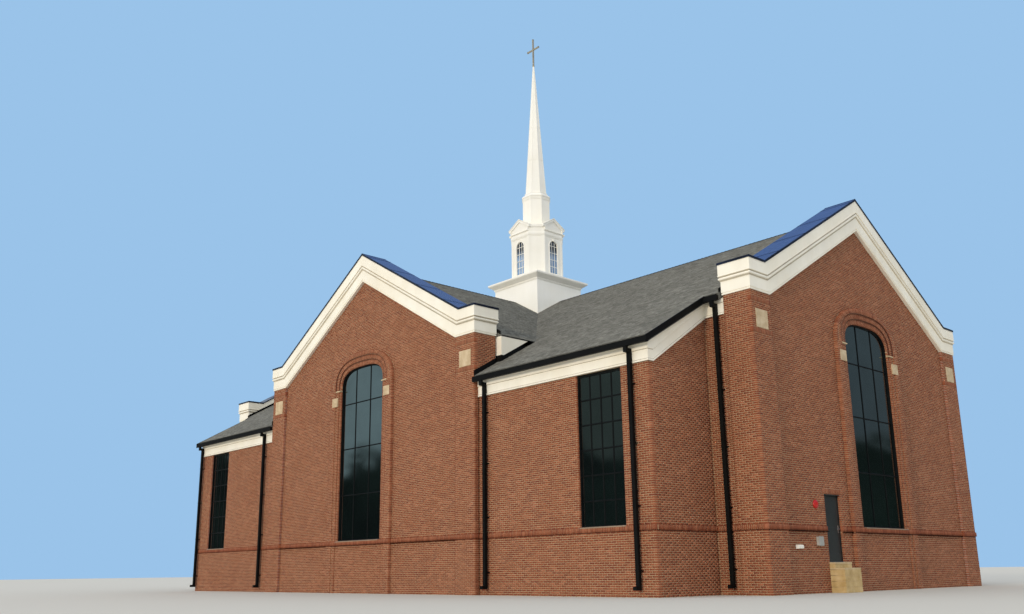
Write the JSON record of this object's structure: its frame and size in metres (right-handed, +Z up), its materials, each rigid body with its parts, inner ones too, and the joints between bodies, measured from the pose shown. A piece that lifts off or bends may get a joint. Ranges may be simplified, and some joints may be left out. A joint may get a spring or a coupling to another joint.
{
  "type": "brick church building",
  "caption": "Cross-shaped brick church with white-corniced gable ends, tall dark windows, grey shingled roofs, a hinged side door and a white steeple with a spire and cross.",
  "frame": {"origin": "on the plane of the lowest ground, straight under the steeple's axis where the two ridges cross", "axes": "+Z up, +X toward the gable with the door (east), -Y toward the other gable seen from the front (south)"},
  "size_m": [34.606, 21.22, 28.87],
  "materials": {
    "brick": "matt clay brick in running bond",
    "white_trim": "satin off-white",
    "coping_metal": "glossy dark blue-black",
    "window_glass": "dark reflective glazing",
    "gutter_metal": "satin black",
    "shingle": "rough mineral shingle",
    "floor": "plain concrete",
    "door_frame": "satin dark",
    "door_leaf": "satin slate",
    "step_stone": "smooth cast stone",
    "steeple_white": "satin off-white",
    "belfry_glass": "blue-grey reflective glazing",
    "cross_metal": "satin bronze"
  },
  "bodies": {
    "building": {"south_gable_wall": "brick", "south_cornice": "white_trim", "south_coping": "coping_metal", "south_window": "window_glass", "east_gable_wall_left": "brick", "east_gable_wall_right": "brick", "east_gable_wall_over_door": "brick", "east_cornice": "white_trim", "east_coping": "coping_metal", "east_window": "window_glass", "north_gable_wall": "brick", "north_cornice": "white_trim", "north_coping": "coping_metal", "north_window": "window_glass", "west_gable_wall": "brick", "west_cornice": "white_trim", "west_coping": "coping_metal", "west_window": "window_glass", "wing_wall_se": "brick", "wing_frieze_se": "white_trim", "wing_window_se": "window_glass", "wing_gutter_se": "gutter_metal", "nave_roof_se": "shingle", "transept_roof_se": "shingle", "wing_wall_sw": "brick", "wing_frieze_sw": "white_trim", "wing_window_sw": "window_glass", "wing_gutter_sw": "gutter_metal", "nave_roof_sw": "shingle", "transept_roof_sw": "shingle", "wing_wall_ne": "brick", "wing_frieze_ne": "white_trim", "wing_window_ne": "window_glass", "wing_gutter_ne": "gutter_metal", "nave_roof_ne": "shingle", "transept_roof_ne": "shingle", "wing_wall_nw": "brick", "wing_frieze_nw": "white_trim", "wing_window_nw": "window_glass", "wing_gutter_nw": "gutter_metal", "nave_roof_nw": "shingle", "transept_roof_nw": "shingle", "floor_slab": "floor", "east_door_frame": "door_frame", "east_door_steps": "step_stone", "steeple_base": "steeple_white", "belfry_walls": "steeple_white", "belfry_pediments": "steeple_white", "steeple_drum": "steeple_white", "steeple_spire": "steeple_white", "belfry_windows": "belfry_glass", "steeple_cross": "cross_metal"},
    "east_door": {"east_door_leaf": "door_leaf"}
  },
  "joints": [
    {"name": "east_door_hinge", "type": "hinge", "parent": "building", "child": "east_door", "pos_m": [16.8793, -3.816, 0.94], "axis": [0, 0, -1], "range_deg": [0, 100]}
  ]
}
